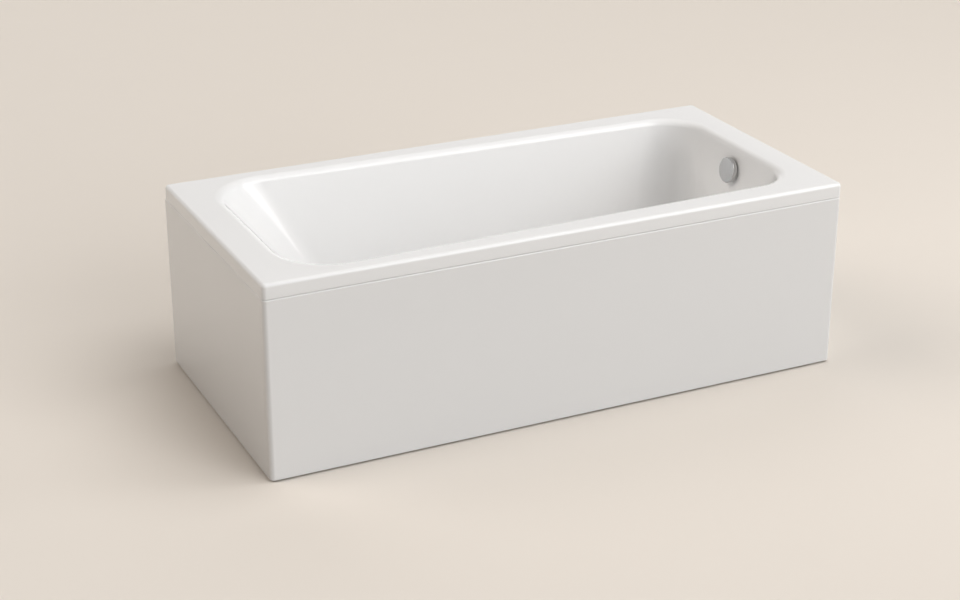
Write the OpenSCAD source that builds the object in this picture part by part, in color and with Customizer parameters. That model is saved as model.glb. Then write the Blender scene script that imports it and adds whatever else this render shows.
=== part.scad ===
/* [Tub] */
// Length over the rim
tub_l = 1700; // [1600:10:1800]
// Width over the rim
tub_w = 800; // [780:10:900]
// Height of the rim's top above the ground
tub_h = 545; // [520:5:600]
// Thickness of the acrylic shell
shell_t = 6; // [5:0.5:8]
// Depth of the rim's turned-down edge
rim_d = 40; // [34:1:60]
// Radius along the rim's outer top edge
rim_edge_r = 10; // [6:1:11]
// Radius of the rim's four upright corners
rim_corner_r = 12; // [12:1:24]
// Width of the rim at the head end
rim_head = 85; // [70:1:110]
// Width of the rim at the foot end
rim_foot = 78; // [60:1:100]
// Width of the long rims where they meet the head end
rim_side_head = 38; // [38:1:60]
// Width of the long rims where they meet the foot end
rim_side_foot = 74; // [50:1:90]

/* [Basin] */
// Height of the basin floor above the ground at the waste
floor_z = 124; // [120:1:150]
// How much higher the basin floor lies at the head end
floor_fall = 9; // [4:1:12]
// Radius of the lip, where the rim turns down into the basin
lip_r = 20; // [14:1:24]
// Radius of the lip over the backrest
head_lip_r = 30; // [20:1:36]
// Corner radius of the opening at the foot end
foot_corner_r = 130; // [100:5:160]
// Corner radius of the basin floor at the foot end
foot_floor_corner_r = 140; // [90:5:150]
// Corner radius of the opening at the head end
head_corner_r = 160; // [100:5:180]
// Corner radius of the basin floor at the head end
head_floor_corner_r = 60; // [50:5:130]
// Run of the backrest for each millimetre that it falls
head_run = 0.8; // [0.6:0.05:0.9]
// Run of the foot wall for each millimetre that it falls
foot_run = 0.14; // [0.08:0.01:0.2]
// Run of the long walls for each millimetre that they fall
side_run = 0.14; // [0.08:0.01:0.18]
// Radius between backrest and floor
head_fillet = 140; // [100:5:180]
// Radius between the other walls and the floor
side_fillet = 70; // [50:5:90]

/* [Frame under the tub] */
// Thickness of the board bonded under the floor
board_t = 15; // [12:1:18]
// Width of the board
board_w = 360; // [300:10:370]
// Gap between the board's end and the waste's centre
board_end = 85; // [75:5:150]
// Length of the board
board_l = 800; // [700:10:820]
// Width of the timber battens under the rim
batten_w = 28; // [20:1:29]
// Height of those battens
batten_h = 18; // [15:1:20]
// Width of each cradle channel
cradle_w = 40; // [36:1:50]
// Height of each cradle channel
cradle_h = 25; // [20:1:30]
// Thickness of the channels' steel
cradle_t = 2; // [1.5:0.5:3]
// Distance of the cradles' ends from the rim's long edges
cradle_in = 80; // [60:5:90]
// Distance of each cradle's middle from its end of the board
cradle_end = 70; // [50:5:100]

/* [Legs] */
// Distance of the legs from the rim's long edges
leg_in = 115; // [105:1:120]
// Radius of the threaded studs
stud_r = 5; // [4:0.5:6]
// How far each stud stands above its cradle
stud_rise = 26; // [22:1:36]
// Width of the leg nuts across their flats
nut_flats = 17; // [15:1:20]
// Thickness of the leg nuts
nut_t = 8; // [6:1:10]
// Radius of the foot pads
pad_r = 25; // [20:1:32]
// Thickness of the foot pads
pad_t = 10; // [8:1:14]
// Height of the socket on each pad
pad_socket_h = 14; // [10:1:20]

/* [Panels] */
// Thickness of the panels
panel_t = 4; // [3:0.5:5]
// Gap between the panels and the ground
panel_floor_gap = 5; // [1:0.5:10]
// Joint between the rim's edge and the panels
panel_joint = 1.5; // [1:0.5:4]
// Radius along the panels' top edge
panel_edge_r = 5; // [1.5:0.5:6]
// Radius along the panels' bottom edge
panel_foot_r = 1; // [0.5:0.5:3]
// Width of the folded top flange
flange_w = 32; // [26:1:34]
// Thickness of the folded flanges
flange_t = 5; // [4:0.5:6]
// Width of the folded bottom flange
foot_flange_w = 22; // [15:1:30]
// How far the front panel turns round each corner
return_w = 18; // [16:1:30]
// Seam between the front panel and an end panel
seam_gap = 0.6; // [0.4:0.1:2]
// Number of clips along the front
clip_count = 4; // [2:1:6]
// Distance of the outer clips from the rim's ends
clip_end = 250; // [200:10:300]
// Width of each clip
clip_w = 40; // [30:1:60]
// Radius of the magnets that hold the front panel's foot
magnet_r = 10; // [6:1:12]

/* [Waste] */
// Distance of the waste from the rim's outer edge at the foot
waste_in = 295; // [280:5:330]
// Radius of the hole in the floor
waste_hole_r = 26; // [25:0.5:28]
// Radius of the chrome flange
waste_flange_r = 35; // [34:0.5:38]
// Outer radius of the flange's threaded neck
neck_r = 22; // [21:0.5:23]
// Wall of the flange's neck
neck_t = 3.5; // [2.5:0.5:4]
// Radius of the plug's cap
plug_r = 31; // [28:0.5:33]
// How far the plug rises
plug_lift = 12; // [10:0.5:12]
// Radius of the waste housing
housing_r = 45; // [44:0.5:48]
// Height of the waste housing
housing_h = 52; // [50:1:56]
// Wall of the waste housing and its cup
housing_t = 3; // [2.5:0.5:4]
// Height of the trap's cup below the housing
cup_h = 46; // [40:1:46]
// Radius of the drain pipe
drain_r = 20; // [18:0.5:20]
// Wall of the drain pipe
drain_t = 1.8; // [1.5:0.1:2.5]
// Depth of the socket at the drain pipe's end
drain_mouth_l = 40; // [35:1:50]

/* [Overflow] */
// Depth of the overflow's centre below the rim's top
overflow_drop = 73; // [68:1:90]
// Radius of the hole in the foot wall
overflow_hole_r = 26; // [25.5:0.5:28]
// Radius of the turning knob
knob_r = 37.5; // [37:0.5:45]
// Thickness of the knob
knob_t = 15; // [14:0.5:24]
// Gap that the water runs through, between knob and wall
knob_gap = 4; // [4:0.5:8]
// Bevel round the knob's face
knob_bevel = 1.5; // [0.5:0.25:2.5]
// Radius of the knob's spindle
spindle_r = 4; // [3:0.5:5]
// Radius of the housing behind the foot wall
elbow_r = 36; // [35:0.5:40]
// Depth of that housing
elbow_h = 35; // [32:1:40]

/* [Hose and cable] */
// Outer radius of the ribbed overflow hose
hose_r = 14; // [12:0.5:14]
// Radius of the hose's bore
hose_bore_r = 10.5; // [8:0.5:11]
// Height of the hose's ribs
rib_h = 1.8; // [1:0.1:2]
// Spacing of the ribs
rib_pitch = 5.5; // [5:0.5:8]
// Radius of the hose's bend
hose_bend_r = 88; // [60:2:88]
// Radius of the cable's casing
cable_r = 2.5; // [2:0.25:3]

/* [Hidden] */
$fn = 48;

// Clearances: a running fit, a free gap and a seat that may be taken apart
fit = 0.05;
seat = 0.3;
eps = 0.01;

half_l = tub_l / 2;
half_w = tub_w / 2;
rim_bottom = tub_h - rim_d;
under_rim = tub_h - shell_t;

// Opening at the lip: its two ends, its half width at the foot and how fast it widens
opening_head_x = -half_l + rim_head;
opening_foot_x = half_l - rim_foot;
opening_foot_w = half_w - rim_side_foot;
opening_widening = (rim_side_foot - rim_side_head) / (opening_foot_x - opening_head_x);

// Slopes of the basin's walls, as angles down from the horizontal
head_angle = atan(1 / head_run);
foot_angle = atan(1 / foot_run);
side_angle = atan(1 / side_run);

// Steps of the shell's mesh: each corner, the lip, the wall and the floor's radius
corner_steps = 10;
edge_steps = 3;
lip_steps = 5;
wall_steps = 2;
fillet_steps = 5;
wall_start = lip_steps + wall_steps;
profile_steps = wall_start + fillet_steps;

// A wall seen in section: [distance in from the opening, height, angle], off the inner face by t
function wall_point(angle, lip, fillet, k, t) =
    let (top_z = tub_h - lip + lip * cos(angle),
         top_in = lip * sin(angle),
         low_z = floor_z + fillet * (1 - cos(angle)),
         low_in = top_in + (top_z - low_z) / tan(angle),
         part = (k - lip_steps) / wall_steps,
         a = k <= lip_steps ? angle * k / lip_steps
           : k <= wall_start ? angle
           : angle * (1 - (k - wall_start) / fillet_steps),
         inner = k <= lip_steps ? [lip * sin(a), tub_h - lip + lip * cos(a)]
               : k <= wall_start ? [top_in + part * (low_in - top_in),
                                    top_z + part * (low_z - top_z)]
               : [low_in + fillet * (sin(angle) - sin(a)), floor_z + fillet * (1 - cos(a))])
    [inner[0] - t * sin(a), inner[1] - t * cos(a), a];

// A closed outline of four straight sides and four arcs, wider at the head by the given rate
function ring(head_x, foot_x, foot_w, widening, head_r, foot_r, side_z, foot_z, head_z, fall) =
    let (skew = sqrt(1 + widening * widening),
         turn = atan(widening),
         foot_y = foot_w + widening * foot_r - foot_r * skew,
         head_y = foot_w + widening * (foot_x - head_x - head_r) - head_r * skew)
    [for (corner = [0:3]) for (i = [0:corner_steps])
        let (at_head = corner == 1 || corner == 2,
             r = at_head ? head_r : foot_r,
             first = [0, 90 - turn, 180, 270 + turn][corner],
             last = [90 - turn, 180, 270 + turn, 360][corner],
             a = first + (last - first) * i / corner_steps,
             z = side_z * pow(sin(a), 2) + (at_head ? head_z : foot_z) * pow(cos(a), 2),
             lift = at_head ? fall * (tub_h - z) / (tub_h - floor_z) : 0)
        [(at_head ? head_x + r : foot_x - r) + r * cos(a),
         (corner < 2 ? 1 : -1) * (at_head ? head_y : foot_y) + r * sin(a),
         z + lift]];

function rim_ring(inset, r, z) =
    ring(-half_l + inset, half_l - inset, half_w - inset, 0, r, r, z, z, z, 0);

function basin_ring(k, t) =
    let (head = wall_point(head_angle, head_lip_r, head_fillet, k, t),
         foot = wall_point(foot_angle, lip_r, side_fillet, k, t),
         side = wall_point(side_angle, lip_r, side_fillet, k, t),
         skew = sqrt(1 + opening_widening * opening_widening),
         depth = (tub_h - wall_point(side_angle, lip_r, side_fillet, k, 0)[1]) / (tub_h - floor_z),
         head_r = head_corner_r + (head_floor_corner_r - head_corner_r) * depth,
         foot_r = foot_corner_r + (foot_floor_corner_r - foot_corner_r) * depth,
         out = t * sin(side[2]))
    ring(opening_head_x + head[0], opening_foot_x - foot[0],
        opening_foot_w + opening_widening * foot[0] - side[0] * skew, opening_widening,
        head_r + out, foot_r + out, side[1], foot[1], head[1], floor_fall);

shell_rings = concat(
    [for (k = [profile_steps:-1:0]) basin_ring(k, shell_t)],
    [rim_ring(shell_t, rim_corner_r - shell_t, under_rim),
     rim_ring(shell_t, rim_corner_r - shell_t, rim_bottom),
     rim_ring(0, rim_corner_r, rim_bottom)],
    [for (i = [0:edge_steps]) let (a = 90 * i / edge_steps, in = rim_edge_r * (1 - cos(a)))
        rim_ring(in, rim_corner_r - in, tub_h - rim_edge_r * (1 - sin(a)))],
    [for (k = [0:profile_steps]) basin_ring(k, 0)]);

function strip_faces(n, rings, flip) =
    [for (k = [0:rings - 2]) for (i = [0:n - 1])
        let (a = k * n + i, b = k * n + (i + 1) % n, c = a + n, d = b + n)
        each flip ? [[a, c, b], [b, c, d]] : [[a, b, c], [b, d, c]]];

// A cap over one end ring, in strips from each point to its mirror image across the tub
function cap_faces(n, start, flip) =
    [for (i = [0:n / 2 - 2])
        let (a = start + i, b = start + i + 1, c = start + n - 2 - i, d = start + n - 1 - i)
        each (flip ? [[a, b, d], [b, c, d]] : [[a, d, b], [b, d, c]])];

// Places of the waste and the overflow
waste_x = half_l - waste_in;
overflow_z = tub_h - overflow_drop;
foot_wall_top = wall_point(foot_angle, lip_r, side_fillet, lip_steps, 0);
overflow_x = opening_foot_x - foot_wall_top[0] - (foot_wall_top[1] - overflow_z) / tan(foot_angle);

// Heights of the waste, each seated on the one above it
recess_d = 4;
recess_margin = 3;
boss_t = 8;
boss_r = 44;
flange_seal_t = 1.5;
washer_t = 6;
dip_gap = 10;
recess_z = floor_z - recess_d;
boss_z = recess_z - boss_t;
housing_z = boss_z - washer_t;
housing_bottom = housing_z - housing_h;
cup_bottom = housing_bottom - cup_h;
dip_bottom = cup_bottom + housing_t + dip_gap;
neck_l = 25.5;
neck_bottom = recess_z + flange_seal_t - neck_l;
neck_bore_r = neck_r - neck_t;
dip_r = neck_bore_r + seat;
dip_t = 2.5;
wedge_drop = 22;
wedge_z = housing_z - wedge_drop;
wedge_r = 8;
guide_t = 3;
guide_l = 38;
guide_end = 16;
hub_rise = 4;
hub_h = 8;
drain_socket_t = 3;
drain_socket_l = 30;
drain_stop = 4;
drain_wall_gap = 3;
drain_start_y = housing_r + drain_stop;
drain_end_y = half_w - drain_wall_gap;
drain_mouth_t = 2.5;
drain_play = 0.3;
drain_nut_l = 22;
drain_nut_lap = 14;
drain_nut_t = 4;
collar_t = 3;
collar_h = 10;
collar_drop = 6.5;
drain_z = housing_bottom + collar_h - collar_drop + drain_r + drain_socket_t + 0.5;
pin_r = 3;
pin_tip_drop = (pin_r + seat) * sqrt(2);
pin_bottom = wedge_z - plug_lift / 2 + pin_tip_drop;
plug_seat_z = floor_z + seat;
plug_neck_r = 14;
plug_neck_d = 11;
plug_socket_top = plug_seat_z - 3;
plug_t = 3;
plug_dome = 2.5;

// Sizes of the overflow, along the axis square to the foot wall
overflow_seal_t = 1.2;
overflow_flange_t = 3.5;
overflow_flange_r = 33;
overflow_neck_t = 3;
overflow_neck_r = overflow_hole_r - 1;
overflow_neck_l = 22;
overflow_hub_in = 6;
knob_face_t = 5;
gasket_t = 4;
elbow_front = -shell_t - gasket_t;
elbow_back = elbow_front - elbow_h;
elbow_t = 3.5;
outlet_inset = 18;
outlet_depth = elbow_front - outlet_inset;
spigot_t = 2;
spigot_r = hose_r + seat + spigot_t;
spigot_drop = 62;
socket_l = 18;
gland_y = -28;
gland_r = 5;
wire_r = 1;
gland_drop = 44;
gland_socket = 8;
hose_nut_t = 3;
hose_nut_l = 18;
inlet_drop = 22;
hose_in_z = housing_z - inlet_drop;
inlet_reach = 75;

// Directions of the foot wall: down along it and out of the basin through it
wall_down = [-cos(foot_angle), 0, -sin(foot_angle)];
wall_out = [sin(foot_angle), 0, -cos(foot_angle)];
overflow_at = [overflow_x, 0, overflow_z];

function unit(v) = v / norm(v);

// Unit vectors square to each tangent, carried along the path without twist
function carried(tangents, side, i = 0) =
    i == len(tangents) ? []
    : let (v = unit(side - (side * tangents[i]) * tangents[i]))
      concat([v], carried(tangents, v, i + 1));

function path_tangents(path) =
    [for (i = [0:len(path) - 1])
        unit(path[min(i + 1, len(path) - 1)] - path[max(i - 1, 0)])];

function swept_ring(centre, tangent, side, r, sides) =
    [for (j = [0:sides - 1])
        centre + r * (cos(360 * j / sides) * side + sin(360 * j / sides) * cross(tangent, side))];

// Route of the hose: down along the foot wall, one bend, then level to the waste
hose_top = overflow_at + wall_out * -outlet_depth + wall_down * (spigot_drop - socket_l + seat);
hose_end_x = waste_x + inlet_reach - socket_l + seat;
hose_corner_x = hose_top[0] + wall_down[0] * (hose_top[2] - hose_in_z) / -wall_down[2];
hose_turn = foot_angle;
hose_tangent_l = hose_bend_r * tan(hose_turn / 2);
hose_drop_l = norm([hose_corner_x, 0, hose_in_z] - hose_top) - hose_tangent_l;
hose_arc_l = hose_bend_r * hose_turn * PI / 180;
hose_run_l = hose_corner_x - hose_tangent_l - hose_end_x;
hose_l = hose_drop_l + hose_arc_l + hose_run_l;
hose_bend_at = hose_top + wall_down * hose_drop_l - wall_out * hose_bend_r;
hose_sides = 8;
hose_cuff = 2 * hose_r;
rib_count = floor((hose_l - 2 * hose_cuff) / rib_pitch);
rib_start = (hose_l - rib_count * rib_pitch) / 2;
bore_rings = 24;

function hose_point(s) =
    s <= hose_drop_l ? hose_top + wall_down * s
    : s <= hose_drop_l + hose_arc_l
    ? let (a = (s - hose_drop_l) / hose_bend_r * 180 / PI)
      hose_bend_at + hose_bend_r * (cos(a) * wall_out + sin(a) * wall_down)
    : [hose_corner_x - hose_tangent_l - (s - hose_drop_l - hose_arc_l), 0, hose_in_z];

function hose_direction(s) =
    s <= hose_drop_l ? wall_down
    : s <= hose_drop_l + hose_arc_l
    ? let (a = (s - hose_drop_l) / hose_bend_r * 180 / PI)
      cos(a) * wall_down - sin(a) * wall_out
    : [-1, 0, 0];

// Route of the cable between its glands: each free point's share of the way along and up from the
// waste to the overflow, with its place across the tub in the middle
cable_shares = [[0.967, -29, 0.907], [0.934, -32, 0.735], [0.896, -44, 0.534], [0.839, -66, 0.347],
    [0.731, -94, 0.195], [0.561, -122, 0.089], [0.363, -140, 0.032], [0.137, -138, 0.006],
    [0, -112, 0]];
cable_straight = 12;
cable_steps = 4;
cable_sides = 10;
cable_lap = 10;
cable_top = overflow_at + wall_out * -outlet_depth + wall_down * (gland_drop - gland_socket)
    + [0, gland_y, 0];
cable_low = [waste_x, -housing_r - guide_l + cable_lap, wedge_z];
cable_route = [for (p = cable_shares) [waste_x + p[0] * (cable_top[0] - waste_x), p[1],
    wedge_z + p[2] * (cable_top[2] - wedge_z)]];
cable_knots = concat([cable_top, cable_top + wall_down * cable_straight], cable_route,
    [cable_low - [0, cable_straight, 0], cable_low]);

function curve_point(p, i, t) =
    let (a = p[max(i - 1, 0)], b = p[i], c = p[i + 1], d = p[min(i + 2, len(p) - 1)])
    0.5 * (2 * b + (c - a) * t + (2 * a - 5 * b + 4 * c - d) * t * t
        + (3 * b - a - 3 * c + d) * t * t * t);

cable_path = concat([for (i = [0:len(cable_knots) - 2]) for (j = [0:cable_steps - 1])
    curve_point(cable_knots, i, j / cable_steps)], [cable_low]);

// Heights and places of the board, the cradles and the legs
floor_head_x = opening_head_x + wall_point(head_angle, head_lip_r, head_fillet, profile_steps, 0)[0];
floor_foot_x = opening_foot_x - wall_point(foot_angle, lip_r, side_fillet, profile_steps, 0)[0];
fall_start_x = floor_foot_x - foot_floor_corner_r;
fall_end_x = floor_head_x + head_floor_corner_r;
board_foot_x = waste_x - board_end;
board_head_x = board_foot_x - board_l;
cradle_head_x = board_head_x + cradle_end;
cradle_foot_x = board_foot_x - cradle_end;
cradle_l = tub_w - 2 * cradle_in;
leg_y = half_w - leg_in;

function floor_under(x) = floor_z - shell_t
    + floor_fall * min(max((fall_start_x - x) / (fall_start_x - fall_end_x), 0), 1);
function cradle_top(x) = floor_under(x + cradle_w / 2) - board_t;

leg_places = [[cradle_head_x, -leg_y], [cradle_head_x, leg_y],
    [cradle_foot_x, -leg_y], [cradle_foot_x, leg_y]];
stud_bottom = 4;
screw_r = 2.5;
screw_head_r = 5;
screw_head_t = 2.5;
screw_depth = 11;
cradle_screws_across = 4;
cradle_screw_in = 30;
cradle_screw_ys = [for (i = [0:cradle_screws_across - 1])
    (board_w / 2 - cradle_screw_in) * (2 * i / (cradle_screws_across - 1) - 1)];

// Places of the panels' fixings
panel_top = rim_bottom - panel_joint;
flange_drop = panel_edge_r / 4;
clip_jaw = 7;
clip_gap = 3;
clip_web = 8;
clip_screw_in = 5;
clip_span = tub_l - 2 * clip_end;
clip_places = [for (i = [0:clip_count - 1]) -clip_span / 2 + clip_span * i / (clip_count - 1)];
batten_bottom = under_rim - batten_h;
batten_out_y = half_w - shell_t - seat;
batten_out_x = half_l - shell_t - seat;
keeper_t = 2;
magnet_t = 6;
arm_t = 3;
arm_lap = 20;
arm_tab_h = 24;
packer_w = 24;
packer_y = 220;
stay_w = 25;
stay_t = 3;
stay_y = -200;
stay_tab_h = 18;
stay_drop = 3;
stay_bolt_drop = 9;
bolt_r = 3;
bolt_head_r = 5.5;
bolt_head_t = 4;
bolt_l = 10;

// Wall brackets: two angle pieces that the back rim stands on
bracket_w = 60;
bracket_t = 3;
bracket_h = 60;
bracket_reach = 30;
bracket_hole_r = 3;
bracket_hole_spacing = 36;
bracket_hole_drop = 40;
bracket_x = 520;

module at_overflow() {
    translate(overflow_at)
        rotate([0, -foot_angle, 0])
            children();
}

module tube(r, bore, h) {
    difference() {
        cylinder(r = r, h = h);
        translate([0, 0, -1])
            cylinder(r = bore, h = h + 2);
    }
}

// A spoked hub: three arms from a bored boss out to radius r
module spider(r, hub_r, bore, h) {
    difference() {
        union() {
            cylinder(r = hub_r, h = h);
            for (a = [0, 120, 240])
                rotate([0, 0, a])
                    translate([0, -1.5, 0])
                        cube([r, 3, h]);
        }
        translate([0, 0, -1])
            cylinder(r = bore, h = h + 2);
    }
}

module tub_shell() {
    n = 4 * (corner_steps + 1);
    rings = len(shell_rings);
    color("white")
        difference() {
            union() {
                polyhedron(
                    points = [for (r = shell_rings) each r],
                    faces = concat(strip_faces(n, rings, true), cap_faces(n, 0, true),
                        cap_faces(n, n * (rings - 1), false)),
                    convexity = 8);
                translate([waste_x, 0, boss_z])
                    cylinder(r = boss_r, h = floor_z - boss_z - shell_t / 2);
            }
            translate([waste_x, 0, recess_z])
                cylinder(r = waste_flange_r + recess_margin, h = floor_z);
            translate([waste_x, 0, boss_z - 1])
                cylinder(r = waste_hole_r, h = floor_z);
            at_overflow()
                translate([0, 0, -2 * shell_t])
                    cylinder(r = overflow_hole_r, h = 4 * shell_t);
        }
}

module base_board() {
    color("burlywood")
        difference() {
            translate([0, board_w / 2, 0])
                rotate([90, 0, 0])
                    linear_extrude(board_w)
                        polygon([
                            [board_head_x, floor_under(board_head_x) - board_t],
                            [fall_end_x, floor_under(fall_end_x) - board_t],
                            [board_foot_x, floor_under(board_foot_x) - board_t],
                            [board_foot_x, floor_under(board_foot_x)],
                            [fall_end_x, floor_under(fall_end_x)],
                            [board_head_x, floor_under(board_head_x)]]);
            for (x = [cradle_head_x, cradle_foot_x]) for (y = cradle_screw_ys)
                translate([x, y, cradle_top(x) - 1])
                    cylinder(r = screw_r + fit, h = screw_depth + 1.5);
        }
}

module long_batten(side) {
    color("burlywood")
        difference() {
            translate([-batten_out_x + rim_corner_r - shell_t + 2,
                    side > 0 ? batten_out_y - batten_w : -batten_out_y, batten_bottom])
                cube([2 * (batten_out_x - rim_corner_r + shell_t - 2), batten_w, batten_h]);
            if (side < 0)
                for (x = clip_places)
                    translate([x, -batten_out_y + batten_w / 2, batten_bottom - 1])
                        cylinder(r = screw_r + fit, h = screw_depth + 1);
        }
}

module rim_batten_front() long_batten(-1);
module rim_batten_back() long_batten(1);

module short_batten(side) {
    length = 2 * (batten_out_y - batten_w - seat);
    color("burlywood")
        difference() {
            translate([side > 0 ? batten_out_x - batten_w : -batten_out_x, -length / 2, batten_bottom])
                cube([batten_w, length, batten_h]);
            for (y = [-packer_y, packer_y])
                translate([side * (batten_out_x - batten_w / 2), y, batten_bottom - 1])
                    cylinder(r = screw_r + fit, h = screw_depth + 1);
        }
}

module rim_batten_head() short_batten(-1);
module rim_batten_foot() short_batten(1);

module cradle(x, side) {
    top = cradle_top(x);
    color("lightgray")
        difference() {
            translate([x - cradle_w / 2, -cradle_l / 2, top - cradle_h])
                cube([cradle_w, cradle_l, cradle_h]);
            translate([x - cradle_w / 2 + cradle_t, -cradle_l / 2 - 1, top - cradle_h - 1])
                cube([cradle_w - 2 * cradle_t, cradle_l + 2, cradle_h + 1 - cradle_t]);
            for (y = [-leg_y, leg_y])
                translate([x, y, top - cradle_t - 1])
                    cylinder(r = stud_r + 0.5, h = cradle_t + 2);
            for (y = cradle_screw_ys)
                translate([x, y, top - cradle_t - 1])
                    cylinder(r = screw_r + fit, h = cradle_t + 2);
            translate([x + side * (cradle_w / 2 - cradle_t - 1), stay_y, top - stay_bolt_drop])
                rotate([0, side * 90, 0])
                    cylinder(r = bolt_r + fit, h = cradle_t + 2);
        }
}

module cradle_head() cradle(cradle_head_x, -1);
module cradle_foot() cradle(cradle_foot_x, 1);

// A wood screw pointing up, the underside of its head at z = 0
module screw(depth) {
    translate([0, 0, -screw_head_t])
        cylinder(r = screw_head_r, h = screw_head_t);
    translate([0, 0, -eps])
        cylinder(r = screw_r, h = depth);
}

module cradle_screws() {
    color("silver")
        for (x = [cradle_head_x, cradle_foot_x]) for (y = cradle_screw_ys)
            translate([x, y, cradle_top(x) - cradle_t])
                screw(screw_depth);
}

module leg_nuts() {
    color("silver")
        for (p = leg_places) for (above = [true, false])
            translate([p[0], p[1], cradle_top(p[0]) + (above ? 0 : -cradle_t - nut_t)])
                difference() {
                    cylinder(r = nut_flats / sqrt(3), h = nut_t, $fn = 6);
                    translate([0, 0, -1])
                        cylinder(r = stud_r + fit, h = nut_t + 2, $fn = 48);
                }
}

module leg_stud(i) {
    p = leg_places[i];
    color("silver")
        translate([p[0], p[1], stud_bottom])
            cylinder(r = stud_r, h = cradle_top(p[0]) + stud_rise - stud_bottom);
}

module leg_stud_head_front() leg_stud(0);
module leg_stud_head_back() leg_stud(1);
module leg_stud_foot_front() leg_stud(2);
module leg_stud_foot_back() leg_stud(3);

module foot_pad(i) {
    p = leg_places[i];
    chamfer = 2;
    color("dimgray")
        translate([p[0], p[1], 0])
            rotate_extrude()
                polygon([[0, 0], [pad_r, 0], [pad_r, pad_t - 2 * chamfer],
                    [pad_r - chamfer, pad_t - chamfer], [2.4 * stud_r, pad_t],
                    [2 * stud_r, pad_t + pad_socket_h], [stud_r + fit, pad_t + pad_socket_h],
                    [stud_r + fit, stud_bottom], [0, stud_bottom]]);
}

module foot_pad_head_front() foot_pad(0);
module foot_pad_head_back() foot_pad(1);
module foot_pad_foot_front() foot_pad(2);
module foot_pad_foot_back() foot_pad(3);

module wall_bracket(x) {
    top = rim_bottom - seat;
    color("lightgray")
        difference() {
            union() {
                translate([x - bracket_w / 2, half_w - bracket_t, top - bracket_h])
                    cube([bracket_w, bracket_t, bracket_h]);
                translate([x - bracket_w / 2, half_w - bracket_reach, top - bracket_t])
                    cube([bracket_w, bracket_reach, bracket_t]);
            }
            for (dx = [-bracket_hole_spacing / 2, bracket_hole_spacing / 2])
                translate([x + dx, half_w + 1, top - bracket_hole_drop])
                    rotate([90, 0, 0])
                        cylinder(r = bracket_hole_r, h = bracket_t + 2);
        }
}

module wall_bracket_head() wall_bracket(-bracket_x);
module wall_bracket_foot() wall_bracket(bracket_x);

module waste_flange() {
    flange_z = recess_z + flange_seal_t;
    hub_z = wedge_z + wedge_r + hub_rise;
    color("silver")
        translate([waste_x, 0, 0])
            union() {
                translate([0, 0, neck_bottom])
                    tube(neck_r, neck_bore_r, neck_l);
                translate([0, 0, flange_z])
                    difference() {
                        cylinder(r = waste_flange_r, h = floor_z - flange_z);
                        translate([0, 0, -1])
                            cylinder(r = neck_bore_r, h = recess_d);
                    }
                translate([0, 0, hub_z])
                    spider(neck_bore_r + 1, 2 * pin_r, pin_r + fit, hub_h);
            }
}

module waste_flange_seal() {
    color("dimgray")
        translate([waste_x, 0, recess_z])
            tube(waste_flange_r, waste_hole_r, flange_seal_t);
}

module waste_seal() {
    color("dimgray")
        translate([waste_x, 0, housing_z])
            tube(boss_r, neck_r + seat, washer_t);
}

module waste_housing() {
    color("whitesmoke")
        difference() {
            union() {
                translate([waste_x, 0, housing_bottom])
                    cylinder(r = housing_r, h = housing_h);
                translate([waste_x, 0, dip_bottom])
                    cylinder(r = dip_r + dip_t, h = housing_z - dip_bottom - 1);
                translate([waste_x, 0, drain_z])
                    rotate([-90, 0, 0])
                        cylinder(r = drain_r + drain_socket_t, h = housing_r + drain_socket_l);
                translate([waste_x, 0, wedge_z])
                    rotate([90, 0, 0])
                        cylinder(r = wedge_r + guide_t, h = housing_r + guide_l);
                translate([waste_x, 0, hose_in_z])
                    rotate([0, 90, 0])
                        cylinder(r = spigot_r, h = inlet_reach);
            }
            // The annular chamber round the dip tube, and the drain socket that leaves it
            difference() {
                union() {
                    translate([waste_x, 0, housing_bottom - 1])
                        cylinder(r = housing_r - housing_t, h = housing_h - housing_t + 1);
                    translate([waste_x, 0, drain_z])
                        rotate([-90, 0, 0])
                            cylinder(r = drain_r + fit, h = housing_r + drain_socket_l + 1);
                }
                translate([waste_x, 0, dip_bottom])
                    cylinder(r = dip_r + dip_t, h = housing_z);
                translate([waste_x, 0, wedge_z])
                    rotate([90, 0, 0])
                        cylinder(r = wedge_r + guide_t, h = housing_r);
                translate([waste_x, 0, hose_in_z])
                    rotate([0, 90, 0])
                        cylinder(r = spigot_r, h = housing_r);
            }
            translate([waste_x, 0, dip_bottom - 1])
                cylinder(r = dip_r, h = housing_z);
            translate([waste_x, 0, neck_bottom - seat])
                cylinder(r = neck_r + fit, h = housing_h);
            translate([waste_x, 0, wedge_z])
                rotate([90, 0, 0])
                    cylinder(r = wedge_r + fit, h = housing_r + guide_l - guide_end);
            translate([waste_x, 0, wedge_z])
                rotate([90, 0, 0])
                    cylinder(r = cable_r + seat, h = housing_r + guide_l + 1);
            translate([waste_x, 0, hose_in_z])
                rotate([0, 90, 0])
                    cylinder(r = hose_bore_r, h = inlet_reach);
            translate([waste_x + inlet_reach - socket_l, 0, hose_in_z])
                rotate([0, 90, 0])
                    cylinder(r = hose_r + seat, h = socket_l + 1);
        }
}

module trap_cup() {
    color("gainsboro")
        translate([waste_x, 0, 0])
            union() {
                translate([0, 0, cup_bottom])
                    difference() {
                        cylinder(r = housing_r, h = cup_h - seat);
                        translate([0, 0, housing_t])
                            cylinder(r = housing_r - housing_t, h = cup_h);
                    }
                translate([0, 0, housing_bottom - collar_drop])
                    difference() {
                        cylinder(r = housing_r + collar_t, h = collar_h);
                        translate([0, 0, -1])
                            cylinder(r = housing_r - eps, h = collar_drop + 1);
                        translate([0, 0, collar_drop - seat])
                            cylinder(r = housing_r + fit, h = collar_h);
                    }
            }
}

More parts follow.
